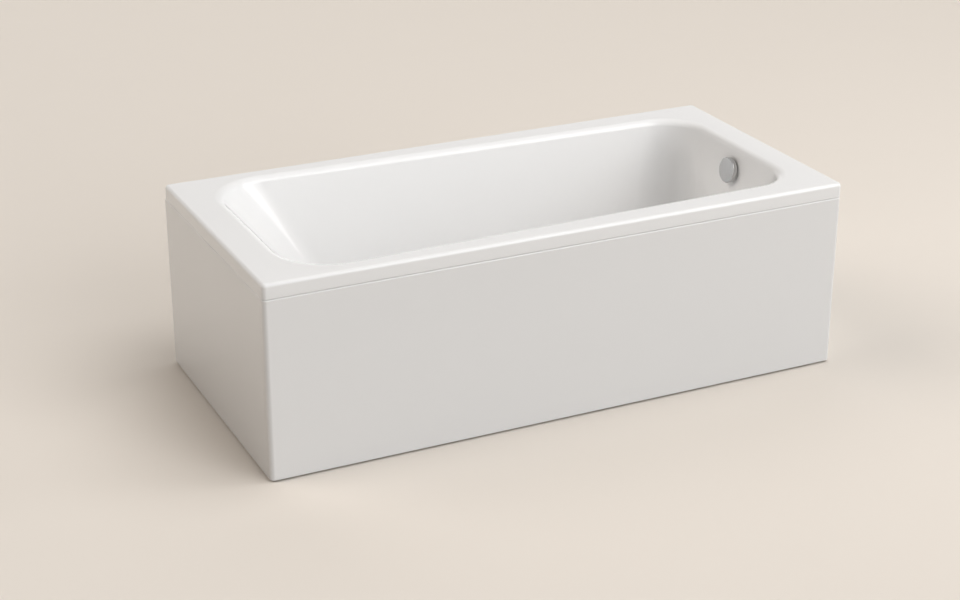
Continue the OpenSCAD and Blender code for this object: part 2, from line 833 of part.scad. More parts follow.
module drain_pipe() {
    length = drain_end_y - drain_start_y;
    mouth_r = drain_r + drain_play;
    color("whitesmoke")
        translate([waste_x, drain_start_y, drain_z])
            rotate([-90, 0, 0])
                difference() {
                    union() {
                        cylinder(r = drain_r, h = length);
                        translate([0, 0, length - drain_mouth_l - drain_mouth_t])
                            cylinder(r = mouth_r + drain_mouth_t, h = drain_mouth_l + drain_mouth_t);
                    }
                    translate([0, 0, -1])
                        cylinder(r = drain_r - drain_t, h = length + 2);
                    translate([0, 0, length - drain_mouth_l])
                        cylinder(r = mouth_r, h = drain_mouth_l + 1);
                }
}

module drain_nut() {
    start = housing_r + drain_socket_l - drain_nut_lap;
    color("dimgray")
        translate([waste_x, start, drain_z])
            rotate([-90, 0, 0])
                difference() {
                    cylinder(r = drain_r + drain_socket_t + drain_nut_t, h = drain_nut_l);
                    translate([0, 0, -1])
                        cylinder(r = drain_r + drain_socket_t + fit, h = drain_nut_lap + 1 + seat);
                    translate([0, 0, -1])
                        cylinder(r = drain_r + fit, h = drain_nut_l + 2);
                }
}

// A rod with a ramp at its tip: pushed along +Y it raises the pin by as much as it moves
module lift_wedge() {
    tip = dip_r - plug_lift - 1.8;
    rod_l = tip + housing_r + guide_l - guide_end - 3;
    low = -plug_lift / 2;
    color("ivory")
        translate([waste_x, 0, wedge_z])
            difference() {
                translate([0, tip, 0])
                    rotate([90, 0, 0])
                        cylinder(r = wedge_r, h = rod_l);
                translate([-wedge_r - 1, 0, 0])
                    rotate([90, 0, 90])
                        linear_extrude(2 * wedge_r + 2)
                            polygon([[tip + 1, low], [0, low], [low - wedge_r - 2, wedge_r + 2],
                                [tip + 1, wedge_r + 2]]);
            }
}

module lift_pin() {
    color("silver")
        translate([waste_x, 0, 0])
            union() {
                translate([0, 0, pin_bottom])
                    sphere(r = pin_r);
                translate([0, 0, pin_bottom])
                    cylinder(r = pin_r, h = plug_socket_top - seat - pin_bottom);
            }
}

module plug() {
    neck_z = plug_seat_z - plug_neck_d;
    color("silver")
        translate([waste_x, 0, 0])
            rotate_extrude()
                polygon([[0, plug_socket_top], [pin_r + seat, plug_socket_top],
                    [pin_r + seat, neck_z], [plug_neck_r + 2, neck_z],
                    [plug_neck_r + 2, neck_z + 2], [plug_neck_r, neck_z + 2],
                    [plug_neck_r, plug_seat_z], [plug_r, plug_seat_z],
                    [plug_r, plug_seat_z + plug_t - 1], [plug_r - 1, plug_seat_z + plug_t],
                    [0.8 * plug_r, plug_seat_z + plug_t + 0.36 * plug_dome],
                    [0.6 * plug_r, plug_seat_z + plug_t + 0.64 * plug_dome],
                    [0.3 * plug_r, plug_seat_z + plug_t + 0.91 * plug_dome],
                    [0, plug_seat_z + plug_t + plug_dome]]);
}

module plug_seal() {
    low = plug_seat_z - plug_neck_d + 2 + seat;
    out = neck_bore_r - seat;
    color("dimgray")
        translate([waste_x, 0, 0])
            rotate_extrude()
                polygon([[plug_neck_r + fit, low], [out - 1, low], [out, low + 1],
                    [out, low + 3], [out - 1, low + 4], [plug_neck_r + fit, low + 4]]);
}

module overflow_knob() {
    wall = 3.5;
    hub = 2.2 * spindle_r;
    color("silver")
        at_overflow()
            translate([0, 0, knob_gap])
                difference() {
                    rotate_extrude()
                        polygon([[0, knob_face_t], [0, knob_t], [knob_r - knob_bevel, knob_t],
                            [knob_r, knob_t - knob_bevel], [knob_r, 0], [knob_r - wall, 0],
                            [knob_r - wall, knob_t - knob_face_t], [hub, knob_t - knob_face_t],
                            [hub, knob_face_t]]);
                    translate([0, 0, knob_face_t - 1])
                        cylinder(r = spindle_r + fit, h = knob_t - 2 * knob_face_t + 1);
                }
}

module knob_spindle() {
    low = elbow_back + elbow_t + seat;
    color("silver")
        at_overflow()
            translate([0, 0, low])
                cylinder(r = spindle_r, h = knob_gap + knob_t - knob_face_t - seat - low);
}

module cable_cam() {
    cam_r = 20;
    cam_t = 5;
    crank = 14;
    color("ivory")
        at_overflow()
            translate([0, 0, elbow_back + elbow_t + 5]) {
                difference() {
                    cylinder(r = cam_r, h = cam_t);
                    translate([0, 0, -1])
                        cylinder(r = spindle_r + fit, h = cam_t + 2);
                }
                translate([0, crank, cam_t - eps])
                    cylinder(r = 2, h = 4);
            }
}

module overflow_flange() {
    back = overflow_seal_t;
    color("silver")
        at_overflow()
            union() {
                translate([0, 0, back])
                    tube(overflow_flange_r, overflow_neck_r - overflow_neck_t, overflow_flange_t);
                translate([0, 0, back - overflow_neck_l])
                    tube(overflow_neck_r, overflow_neck_r - overflow_neck_t, overflow_neck_l + 1);
                translate([0, 0, back - overflow_hub_in])
                    spider(overflow_neck_r - overflow_neck_t + 1, 2 * spindle_r,
                        spindle_r + fit, overflow_hub_in + overflow_flange_t);
            }
}

module overflow_flange_seal() {
    color("dimgray")
        at_overflow()
            translate([0, 0, eps])
                tube(overflow_flange_r - 1, overflow_hole_r, overflow_seal_t - eps);
}

module overflow_gasket() {
    color("dimgray")
        at_overflow()
            translate([0, 0, elbow_front])
                tube(elbow_r, overflow_neck_r + seat, gasket_t - eps);
}

module overflow_elbow() {
    cavity_r = elbow_r - elbow_t;
    color("whitesmoke")
        at_overflow()
            difference() {
                union() {
                    translate([0, 0, elbow_back])
                        cylinder(r = elbow_r, h = elbow_h);
                    translate([0, 0, outlet_depth])
                        rotate([0, -90, 0])
                            cylinder(r = spigot_r, h = spigot_drop);
                    translate([0, gland_y, outlet_depth])
                        rotate([0, -90, 0])
                            cylinder(r = gland_r, h = gland_drop);
                }
                translate([0, 0, elbow_back + elbow_t])
                    cylinder(r = cavity_r, h = elbow_h - 2 * elbow_t);
                translate([0, 0, elbow_front - elbow_t - 1])
                    cylinder(r = overflow_neck_r + fit, h = elbow_t + 2);
                translate([0, 0, outlet_depth])
                    rotate([0, -90, 0])
                        cylinder(r = hose_bore_r, h = spigot_drop + 1);
                translate([-spigot_drop - 1, 0, outlet_depth])
                    rotate([0, 90, 0])
                        cylinder(r = hose_r + seat, h = socket_l + 1);
                translate([0, gland_y, outlet_depth])
                    rotate([0, -90, 0])
                        cylinder(r = wire_r, h = gland_drop + 1);
                translate([-gland_drop - 1, gland_y, outlet_depth])
                    rotate([0, 90, 0])
                        cylinder(r = cable_r + seat, h = gland_socket + 1.3);
            }
}

module overflow_hose() {
    outer_s = concat([0, rib_start], [for (i = [0:rib_count - 1]) each
        [rib_start + (i + 0.3) * rib_pitch, rib_start + (i + 0.7) * rib_pitch]],
        [hose_l - rib_start, hose_l]);
    outer_r = concat([hose_r, hose_r], [for (i = [0:rib_count - 1]) each
        [hose_r - rib_h, hose_r]], [hose_r, hose_r]);
    inner_s = [for (i = [0:bore_rings - 1]) hose_l * (1 - i / (bore_rings - 1))];
    rings = concat(
        [for (i = [0:len(outer_s) - 1])
            swept_ring(hose_point(outer_s[i]), hose_direction(outer_s[i]), [0, 1, 0],
                outer_r[i], hose_sides)],
        [for (s = inner_s)
            swept_ring(hose_point(s), hose_direction(s), [0, 1, 0], hose_bore_r, hose_sides)]);
    count = len(rings);
    last = (count - 1) * hose_sides;
    color("gainsboro")
        polyhedron(
            points = [for (r = rings) each r],
            faces = concat(strip_faces(hose_sides, count, true),
                [for (i = [0:hose_sides - 1]) let (j = (i + 1) % hose_sides)
                    each [[last + i, i, last + j], [last + j, i, j]]]),
            convexity = 8);
}

module hose_nut_top() {
    color("dimgray")
        at_overflow()
            translate([-spigot_drop - hose_nut_l / 3, 0, outlet_depth])
                rotate([0, 90, 0])
                    difference() {
                        cylinder(r = spigot_r + hose_nut_t, h = hose_nut_l);
                        translate([0, 0, hose_nut_l / 3 - seat])
                            cylinder(r = spigot_r + fit, h = hose_nut_l);
                        translate([0, 0, -1])
                            cylinder(r = hose_r + seat, h = hose_nut_l);
                    }
}

module hose_nut_bottom() {
    color("dimgray")
        translate([waste_x + inlet_reach + hose_nut_l / 3, 0, hose_in_z])
            rotate([0, -90, 0])
                difference() {
                    cylinder(r = spigot_r + hose_nut_t, h = hose_nut_l);
                    translate([0, 0, hose_nut_l / 3 - seat])
                        cylinder(r = spigot_r + fit, h = hose_nut_l);
                    translate([0, 0, -1])
                        cylinder(r = hose_r + seat, h = hose_nut_l);
                }
}

module cable_casing() {
    tangents = concat([wall_down], [for (i = [1:len(cable_path) - 2])
        unit(cable_path[i + 1] - cable_path[i - 1])], [[0, 1, 0]]);
    sides = carried(tangents, [0, 1, 0.2]);
    n = len(cable_path);
    color("black")
        polyhedron(
            points = [for (i = [0:n - 1]) each
                swept_ring(cable_path[i], tangents[i], sides[i], cable_r, cable_sides)],
            faces = concat(strip_faces(cable_sides, n, true),
                [[for (j = [0:cable_sides - 1]) j]],
                [[for (j = [cable_sides - 1:-1:0]) (n - 1) * cable_sides + j]]),
            convexity = 8);
}

// Section of a panel's sheet, its outer face on x = 0 and its inner face on x = panel_t
module sheet_section() {
    difference() {
        translate([0, panel_floor_gap])
            square([panel_t, panel_top - panel_floor_gap]);
        translate([panel_edge_r, panel_top - panel_edge_r])
            difference() {
                translate([-panel_edge_r - 1, 0])
                    square([panel_edge_r + 1, panel_edge_r + 1]);
                circle(r = panel_edge_r);
            }
        translate([panel_foot_r, panel_floor_gap + panel_foot_r])
            difference() {
                translate([-panel_foot_r - 1, -panel_foot_r - 1])
                    square([panel_foot_r + 1, panel_foot_r + 1]);
                circle(r = panel_foot_r);
            }
    }
}

module front_panel() {
    run = 2 * (half_l - rim_corner_r);
    color("white")
        union() {
            translate([-run / 2, -half_w, 0])
                rotate([90, 0, 90])
                    linear_extrude(run)
                        sheet_section();
            for (side = [-1, 1])
                translate([side * (half_l - rim_corner_r), -half_w + rim_corner_r, 0]) {
                    rotate([0, 0, side < 0 ? 180 : 270])
                        rotate_extrude(angle = 90)
                            translate([rim_corner_r, 0])
                                mirror([1, 0])
                                    sheet_section();
                    translate([side * rim_corner_r, 0, 0])
                        rotate([90, 0, side < 0 ? 0 : 180])
                            translate([0, 0, side < 0 ? -(return_w - rim_corner_r) : 0])
                                linear_extrude(return_w - rim_corner_r)
                                    sheet_section();
                }
            translate([-run / 2, -half_w + panel_t - 1, panel_top - flange_t])
                cube([run, flange_w - panel_t + 1, flange_t - flange_drop]);
            translate([-run / 2, -half_w + panel_t - 1, panel_floor_gap + 1])
                cube([run, foot_flange_w - panel_t + 1, flange_t - 1]);
        }
}

module end_panel(side) {
    front_y = -half_w + return_w + seam_gap;
    run = half_w - front_y;
    color("white")
        translate([side * half_l, front_y, 0])
            mirror([side < 0 ? 0 : 1, 0, 0])
                union() {
                    translate([0, run, 0])
                        rotate([90, 0, 0])
                            linear_extrude(run)
                                sheet_section();
                    translate([panel_t - 1, foot_flange_w, panel_top - flange_t])
                        cube([flange_w - panel_t + 1, run - foot_flange_w, flange_t - flange_drop]);
                    translate([panel_t - 1, foot_flange_w, panel_floor_gap + 1])
                        cube([foot_flange_w - panel_t + 1, run - foot_flange_w, flange_t - 1]);
                    translate([panel_t - 1, run - panel_t, panel_floor_gap + 1])
                        cube([foot_flange_w - panel_t + 1, panel_t, panel_top - panel_floor_gap - flange_t]);
                }
}

module head_panel() {
    difference() {
        end_panel(-1);
        packer_holes(-1);
    }
}

module foot_panel() {
    difference() {
        end_panel(1);
        packer_holes(1);
    }
}

// Screw holes through an end panel's top flange
module packer_holes(side) {
    for (y = [-packer_y, packer_y])
        translate([side * (batten_out_x - batten_w / 2), y, panel_top - 2 * flange_t])
            cylinder(r = screw_r + fit, h = 3 * flange_t);
}

// C-shaped clips under the front batten that take the front panel's top flange
module panel_clips() {
    jaw_out_y = -batten_out_y;
    web_y = -half_w + flange_w + seat;
    lower_top = panel_top - flange_t - seat;
    upper_low = panel_top - flange_drop + seat;
    color("dimgray")
        for (x = clip_places)
            difference() {
                union() {
                    translate([x - clip_w / 2, jaw_out_y, upper_low])
                        cube([clip_w, web_y + clip_web - jaw_out_y, batten_bottom - upper_low]);
                    translate([x - clip_w / 2, web_y, lower_top - clip_jaw])
                        cube([clip_w, clip_web, batten_bottom - lower_top + clip_jaw]);
                    translate([x - clip_w / 2, -half_w + panel_t + clip_gap, lower_top - clip_jaw])
                        cube([clip_w, web_y + clip_web + half_w - panel_t - clip_gap, clip_jaw]);
                }
                translate([x, -batten_out_y + batten_w / 2, lower_top - clip_jaw - 1])
                    cylinder(r = screw_head_r + seat,
                        h = batten_bottom - clip_screw_in - lower_top + clip_jaw + 1);
                translate([x, -batten_out_y + batten_w / 2, batten_bottom - 2 * clip_screw_in])
                    cylinder(r = screw_r + fit, h = 3 * clip_screw_in);
            }
}

module clip_screws() {
    color("silver")
        for (x = clip_places)
            translate([x, -batten_out_y + batten_w / 2, batten_bottom - clip_screw_in])
                screw(screw_depth + clip_screw_in - 1);
}

// Arms from the cradles' front ends that carry the magnets for the front panel
module catch_arms() {
    out_y = -half_w + panel_t + keeper_t + seat + magnet_t;
    color("lightgray")
        for (x = [cradle_head_x, cradle_foot_x]) {
            arm_z = cradle_top(x) - cradle_h - arm_t;
            translate([x - cradle_w / 2, out_y, arm_z])
                cube([cradle_w, -cradle_l / 2 + arm_lap - out_y, arm_t]);
            translate([x - cradle_w / 2, out_y, arm_z - arm_tab_h])
                cube([cradle_w, arm_t, arm_tab_h + eps]);
        }
}

module catch_magnets() {
    out_y = -half_w + panel_t + keeper_t + seat;
    color("silver")
        for (x = [cradle_head_x, cradle_foot_x])
            translate([x, out_y + magnet_t, cradle_top(x) - cradle_h - arm_t - arm_tab_h / 2])
                rotate([90, 0, 0])
                    cylinder(r = magnet_r, h = magnet_t);
}

module keeper_plates() {
    color("lightgray")
        for (x = [cradle_head_x, cradle_foot_x])
            translate([x, -half_w + panel_t + keeper_t,
                    cradle_top(x) - cradle_h - arm_t - arm_tab_h / 2])
                rotate([90, 0, 0])
                    cylinder(r = magnet_r + 2, h = keeper_t);
}

// Blocks between the end panels' top flanges and the battens, with their screws
module panel_packers() {
    low = panel_top - flange_drop;
    color("burlywood")
        for (side = [-1, 1]) for (y = [-packer_y, packer_y])
            difference() {
                translate([side * (batten_out_x - batten_w / 2) - packer_w / 2, y - packer_w / 2, low])
                    cube([packer_w, packer_w, batten_bottom - low]);
                translate([side * (batten_out_x - batten_w / 2), y, low - 1])
                    cylinder(r = screw_r + fit, h = batten_bottom - low + 2);
            }
}

module packer_screws() {
    head_z = panel_top - flange_t;
    color("silver")
        for (side = [-1, 1]) for (y = [-packer_y, packer_y])
            translate([side * (batten_out_x - batten_w / 2), y, head_z])
                screw(batten_bottom - head_z + screw_depth - 2);
}

// Steel strips from the cradles to the feet of the end panels
module stay(side, from_x) {
    top = cradle_top(from_x) - stay_drop;
    start_x = from_x + side * cradle_w / 2;
    end_x = side * (half_l - panel_t);
    color("lightgray")
        difference() {
            translate([0, stay_y + stay_w / 2, 0])
                rotate([90, 0, 0])
                    linear_extrude(stay_w)
                        polygon([[start_x, top], [start_x, top - stay_tab_h],
                            [end_x, top - stay_tab_h], [end_x, top],
                            [end_x - side * stay_t, top],
                            [end_x - side * stay_t, top - stay_tab_h + stay_t],
                            [start_x + side * stay_t, top - stay_tab_h + stay_t],
                            [start_x + side * stay_t, top]]);
            translate([start_x, stay_y, cradle_top(from_x) - stay_bolt_drop])
                rotate([0, side * 90, 0])
                    translate([0, 0, -1])
                        cylinder(r = bolt_r + fit, h = stay_t + 2);
        }
}

module head_stay() stay(-1, cradle_head_x);
module foot_stay() stay(1, cradle_foot_x);

module stay_bolts() {
    color("silver")
        for (side = [-1, 1]) {
            from_x = side < 0 ? cradle_head_x : cradle_foot_x;
            translate([from_x + side * (cradle_w / 2 + stay_t), stay_y,
                    cradle_top(from_x) - stay_bolt_drop])
                rotate([0, side * 90, 0]) {
                    cylinder(r = bolt_head_r, h = bolt_head_t, $fn = 6);
                    translate([0, 0, -bolt_l])
                        cylinder(r = bolt_r, h = bolt_l + eps);
                }
        }
}

tub_shell();
base_board();
rim_batten_front();
rim_batten_back();
rim_batten_head();
rim_batten_foot();
cradle_head();
cradle_foot();
cradle_screws();
leg_nuts();
leg_stud_head_front();
leg_stud_head_back();
leg_stud_foot_front();
leg_stud_foot_back();
foot_pad_head_front();
foot_pad_head_back();
foot_pad_foot_front();
foot_pad_foot_back();
wall_bracket_head();
wall_bracket_foot();
waste_flange();
waste_flange_seal();
waste_seal();
waste_housing();
trap_cup();
drain_pipe();
drain_nut();
lift_wedge();
lift_pin();
plug();
plug_seal();
overflow_knob();
knob_spindle();
cable_cam();
overflow_flange();
overflow_flange_seal();
overflow_gasket();
overflow_elbow();
overflow_hose();
hose_nut_top();
hose_nut_bottom();
cable_casing();
front_panel();
head_panel();
foot_panel();
panel_clips();
clip_screws();
catch_arms();
catch_magnets();
keeper_plates();
panel_packers();
packer_screws();
head_stay();
foot_stay();
stay_bolts();
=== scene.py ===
import math

import bpy
from mathutils import Matrix, Vector


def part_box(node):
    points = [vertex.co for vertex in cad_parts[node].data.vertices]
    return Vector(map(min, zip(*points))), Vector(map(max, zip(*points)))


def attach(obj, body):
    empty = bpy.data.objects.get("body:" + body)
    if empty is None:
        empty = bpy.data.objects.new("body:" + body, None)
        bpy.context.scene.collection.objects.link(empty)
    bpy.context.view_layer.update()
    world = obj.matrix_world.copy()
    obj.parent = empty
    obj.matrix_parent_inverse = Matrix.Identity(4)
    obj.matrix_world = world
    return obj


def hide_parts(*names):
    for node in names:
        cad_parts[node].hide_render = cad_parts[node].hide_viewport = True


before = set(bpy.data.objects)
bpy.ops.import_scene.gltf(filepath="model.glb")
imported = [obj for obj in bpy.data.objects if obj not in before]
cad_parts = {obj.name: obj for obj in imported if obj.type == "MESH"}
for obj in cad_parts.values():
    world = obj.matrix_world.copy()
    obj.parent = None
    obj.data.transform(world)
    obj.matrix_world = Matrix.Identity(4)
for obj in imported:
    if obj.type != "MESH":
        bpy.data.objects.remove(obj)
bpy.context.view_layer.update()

# The view. A long lens from above head height, off the corner of the front and the head end, so that
# the front panel, the head end and the inside of the basin all show.
film_width = 36
lens_length = 73.377
camera_place = (-2.256046, -4.578681, 2.388914)
look_down = 23.269
look_right = 25.495
camera_data = bpy.data.cameras.new("camera")
camera_data.sensor_width = film_width
camera_data.lens = lens_length
camera = bpy.data.objects.new("camera", camera_data)
camera.location = camera_place
camera.rotation_euler = (math.radians(90 - look_down), 0, math.radians(-look_right))
bpy.context.scene.collection.objects.link(camera)
bpy.context.scene.camera = camera

# The shell. A sheet of white cast acrylic, drawn hot into a mould: a flat rim with its edge turned
# down, and a basin with a sloping backrest. Its back is sprayed with glass fibre and resin.
half_length = 0.85
half_width = 0.4
rim_top = 0.545
rim_bottom = 0.505
shell_thickness = 0.006
opening_head = -0.765
opening_foot = 0.772
opening_length = 1.537
opening_foot_width = 0.326
side_rim_head = 0.038
side_rim_foot = 0.074
opening_widening = (side_rim_foot - side_rim_head) / opening_length
foot_corner, foot_floor_corner = 0.13, 0.14
head_corner, head_floor_corner = 0.16, 0.06
floor_height = 0.124
floor_fall = 0.009
lip_radius = 0.02
head_lip_radius = 0.03
head_run, foot_run, side_run = 0.8, 0.14, 0.14
head_angle = math.atan(1 / head_run)
foot_angle = math.atan(1 / foot_run)
side_angle = math.atan(1 / side_run)
head_fillet = 0.14
side_fillet = 0.07
# A wall's section is counted down from the rim: the lip to 5, the straight wall to 7, the floor at 12.
lip_end = 5
wall_end = 7
profile_end = 12
corner_steps = 28


def wall_point(angle, lip, fillet, k, depth):
    """How far in, how high and how steep a wall's section is at place k, behind its face by depth."""
    wall_top = rim_top - lip + lip * math.cos(angle)
    wall_low = floor_height + fillet * (1 - math.cos(angle))
    top_in = lip * math.sin(angle)
    low_in = top_in + (wall_top - wall_low) / math.tan(angle)
    if k <= lip_end:
        a = angle * k / lip_end
        inward, z = lip * math.sin(a), rim_top - lip + lip * math.cos(a)
    elif k <= wall_end:
        a = angle
        part = (k - lip_end) / (wall_end - lip_end)
        inward, z = top_in + part * (low_in - top_in), wall_top + part * (wall_low - wall_top)
    else:
        a = angle * (1 - (k - wall_end) / (profile_end - wall_end))
        inward = low_in + fillet * (math.sin(angle) - math.sin(a))
        z = floor_height + fillet * (1 - math.cos(a))
    return inward - depth * math.sin(a), z - depth * math.cos(a), a


def outline_ring(head, foot, foot_width, widening, radii, heights, fall):
    """A closed outline of four straight sides and four arcs.

    The radii are those at head and foot, the heights those of side, foot and head."""
    head_radius, foot_radius = radii
    side_z, foot_z, head_z = heights
    skew = math.sqrt(1 + widening * widening)
    turn = math.atan(widening)
    foot_y = foot_width + widening * foot_radius - foot_radius * skew
    head_y = foot_width + widening * (foot - head - head_radius) - head_radius * skew
    spans = ((0, math.pi / 2 - turn), (math.pi / 2 - turn, math.pi),
             (math.pi, 1.5 * math.pi + turn), (1.5 * math.pi + turn, 2 * math.pi))
    ring = []
    for corner, (first, last) in enumerate(spans):
        at_head = corner in (1, 2)
        radius = head_radius if at_head else foot_radius
        for i in range(corner_steps + 1):
            a = first + (last - first) * i / corner_steps
            x = (head + radius if at_head else foot - radius) + radius * math.cos(a)
            y = (1 if corner < 2 else -1) * (head_y if at_head else foot_y) + radius * math.sin(a)
            z = side_z * math.sin(a) ** 2 + (head_z if at_head else foot_z) * math.cos(a) ** 2
            if at_head:
                z += fall * (rim_top - z) / (rim_top - floor_height)
            ring.append((x, y, z))
    return ring


def rim_outline(inset, radius, z):
    """An outline round the rim, in from its edge by the inset."""
    return outline_ring(-half_length + inset, half_length - inset, half_width - inset, 0,
                        (radius, radius), (z, z, z), 0)


def basin_outline(k, depth):
    """An outline round the basin at place k down its walls, behind their face by depth."""
    head = wall_point(head_angle, head_lip_radius, head_fillet, k, depth)
    foot = wall_point(foot_angle, lip_radius, side_fillet, k, depth)
    side = wall_point(side_angle, lip_radius, side_fillet, k, depth)
    skew = math.sqrt(1 + opening_widening * opening_widening)
    share = ((rim_top - wall_point(side_angle, lip_radius, side_fillet, k, 0)[1])
             / (rim_top - floor_height))
    out = depth * math.sin(side[2])
    radii = (head_corner + (head_floor_corner - head_corner) * share + out,
             foot_corner + (foot_floor_corner - foot_corner) * share + out)
    width = opening_foot_width + opening_widening * foot[0] - side[0] * skew
    return outline_ring(opening_head + head[0], opening_foot - foot[0], width, opening_widening,
                        radii, (side[1], foot[1], head[1]), floor_fall)


def mesh_piece(name, points, faces):
    """A new object in the scene with the given mesh."""
    mesh = bpy.data.meshes.new(name)
    mesh.from_pydata(points, [], faces)
    mesh.update()
    piece = bpy.data.objects.new(name, mesh)
    bpy.context.scene.collection.objects.link(piece)
    return piece


def smooth(piece, angle=35):
    """Rounds the shading over every edge that turns by less than the angle, in degrees."""
    piece.data.shade_smooth()
    piece.data.set_sharp_from_angle(angle=math.radians(angle))


on_axis = 1e-7


def turned(name, outline, place, steps=96):
    """A turned piece: the closed outline of (radius, height) points swept round the axis of place."""
    points, rings = [], []
    for radius, z in outline:
        if radius < on_axis:
            rings.append([len(points)] * steps)
            points.append(place @ Vector((0, 0, z)))
        else:
            rings.append(list(range(len(points), len(points) + steps)))
            points += [place @ Vector((radius * math.cos(2 * math.pi * j / steps),
                                       radius * math.sin(2 * math.pi * j / steps), z))
                       for j in range(steps)]
    faces = []
    for low, high in zip(rings, rings[1:] + rings[:1]):
        for j in range(steps):
            face = (low[j], low[(j + 1) % steps], high[(j + 1) % steps], high[j])
            face = tuple(p for n, p in enumerate(face) if p not in face[:n])
            if len(face) > 2:
                faces.append(face)
    return mesh_piece(name, points, faces)


def disc(radius, low, top):
    """The outline of a plain turned disc."""
    return [(0, low), (radius, low), (radius, top), (0, top)]


def cut_or_join(piece, tool, operation):
    """Cuts the tool out of the piece, or joins it on, and does away with the tool."""
    change = piece.modifiers.new("change", "BOOLEAN")
    change.operation = operation
    change.solver = "EXACT"
    change.object = tool
    view = bpy.context.evaluated_depsgraph_get()
    mesh = bpy.data.meshes.new_from_object(piece.evaluated_get(view))
    piece.modifiers.clear()
    piece.data = mesh
    bpy.data.objects.remove(tool)


wall_steps = 10
fillet_steps = 18
under_lip_steps = 12
seen_lip_steps = 72


def basin_steps(lip_steps):
    """Places down a wall's section; the lip is turned finely where its gloss shows every facet."""
    return ([lip_end * i / lip_steps for i in range(lip_steps + 1)]
            + [lip_end + (wall_end - lip_end) * i / wall_steps for i in range(1, wall_steps + 1)]
            + [wall_end + (profile_end - wall_end) * i / fillet_steps
               for i in range(1, fillet_steps + 1)])


edge_radius = 0.01
edge_steps = 10
corner_radius = 0.012
under_corner = corner_radius - shell_thickness
under_rings = [basin_outline(k, shell_thickness) for k in reversed(basin_steps(under_lip_steps))]
under_rings += [rim_outline(shell_thickness, under_corner, rim_top - shell_thickness),
                rim_outline(shell_thickness, under_corner, rim_bottom)]
upper_rings = [rim_outline(0, corner_radius, rim_bottom)]
for step in range(edge_steps + 1):
    a = math.pi / 2 * step / edge_steps
    inset = edge_radius * (1 - math.cos(a))
    upper_rings.append(rim_outline(inset, corner_radius - inset,
                                   rim_top - edge_radius * (1 - math.sin(a))))
upper_rings += [basin_outline(k, 0) for k in basin_steps(seen_lip_steps)]
shell_rings = under_rings + upper_rings
around = 4 * (corner_steps + 1)
gloss_side, fibre_side = 0, 1
shell_faces, shell_sides = [], []
for ring in range(len(shell_rings) - 1):
    for i in range(around):
        a, b = ring * around + i, ring * around + (i + 1) % around
        shell_faces.append((a, b, b + around, a + around))
        shell_sides.append(fibre_side if ring < len(under_rings) - 1 else gloss_side)
for start, upward in ((0, False), ((len(shell_rings) - 1) * around, True)):
    for i in range(around // 2 - 1):
        strip = (start + i, start + i + 1, start + around - 2 - i, start + around - 1 - i)
        shell_faces.append(strip if upward else strip[::-1])
        shell_sides.append(gloss_side if upward else fibre_side)
shell = mesh_piece("shell", [p for ring in shell_rings for p in ring], shell_faces)
shell.data.polygons.foreach_set("material_index", shell_sides)

waste_x = 0.555
waste_axis = Matrix.Translation((waste_x, 0, 0))
overflow_place = (0.744385, 0, 0.472)
overflow_axis = Matrix.Translation(overflow_place) @ Matrix.Rotation(-foot_angle, 4, "Y")


def blank_finish(name, metallic=0.0):
    """A material with its shader, and the piece's own coordinates for its textures."""
    finish = bpy.data.materials.new(name)
    finish.use_nodes = True
    nodes = finish.node_tree.nodes
    shader = nodes["Principled BSDF"]
    shader.inputs["Metallic"].default_value = metallic
    place = nodes.new("ShaderNodeTexCoord").outputs["Object"]
    return finish, nodes, finish.node_tree.links, shader, place


noise_low, noise_high = 0.3, 0.7


def speckle(nodes, links, place, scale, low=0.0, high=1.0, detail=3.0, stretch=(1, 1, 1)):
    """A soft random value between low and high, over features of about 1 / scale metres."""
    mapping = nodes.new("ShaderNodeMapping")
    mapping.inputs["Scale"].default_value = stretch
    noise = nodes.new("ShaderNodeTexNoise")
    noise.inputs["Scale"].default_value = scale
    noise.inputs["Detail"].default_value = detail
    span = nodes.new("ShaderNodeMapRange")
    span.inputs["From Min"].default_value = noise_low
    span.inputs["From Max"].default_value = noise_high
    span.inputs["To Min"].default_value = low
    span.inputs["To Max"].default_value = high
    links.new(place, mapping.inputs["Vector"])
    links.new(mapping.outputs["Vector"], noise.inputs["Vector"])
    links.new(noise.outputs["Fac"], span.inputs["Value"])
    return span.outputs["Result"]


def between(nodes, links, share, first, second):
    """A colour that goes from the first to the second with the share."""
    mix = nodes.new("ShaderNodeMix")
    mix.data_type = "RGBA"
    mix.inputs["A"].default_value = (*first, 1)
    mix.inputs["B"].default_value = (*second, 1)
    links.new(share, mix.inputs["Factor"])
    return mix.outputs["Result"]


def worked_out(nodes, links, operation, first, second):
    """The outcome of one step of arithmetic on two values."""
    step = nodes.new("ShaderNodeMath")
    step.operation = operation
    links.new(first, step.inputs[0])
    links.new(second, step.inputs[1])
    return step.outputs["Value"]


def relief(nodes, links, height, depth, strength=1.0):
    """A shading normal from a height, depth metres deep."""
    bump = nodes.new("ShaderNodeBump")
    bump.inputs["Strength"].default_value = strength
    bump.inputs["Distance"].default_value = depth
    links.new(height, bump.inputs["Height"])
    return bump.outputs["Normal"]


def gloss_acrylic(name, colour, shade):
    """Cast acrylic: even colour under a clear hard gloss, a shade thinner where the sheet was drawn."""
    finish, nodes, links, shader, place = blank_finish(name)
    drawn = speckle(nodes, links, place, scale=1.5, detail=0)
    links.new(between(nodes, links, drawn, colour, shade), shader.inputs["Base Color"])
    links.new(speckle(nodes, links, place, scale=4, low=0.28, high=0.32, detail=0),
              shader.inputs["Roughness"])
    shader.inputs["IOR"].default_value = 1.49
    shader.inputs["Specular IOR Level"].default_value = 0.45
    shader.inputs["Coat Weight"].default_value = 1.0
    shader.inputs["Coat Roughness"].default_value = 0.01
    shader.inputs["Coat IOR"].default_value = 1.5
    return finish


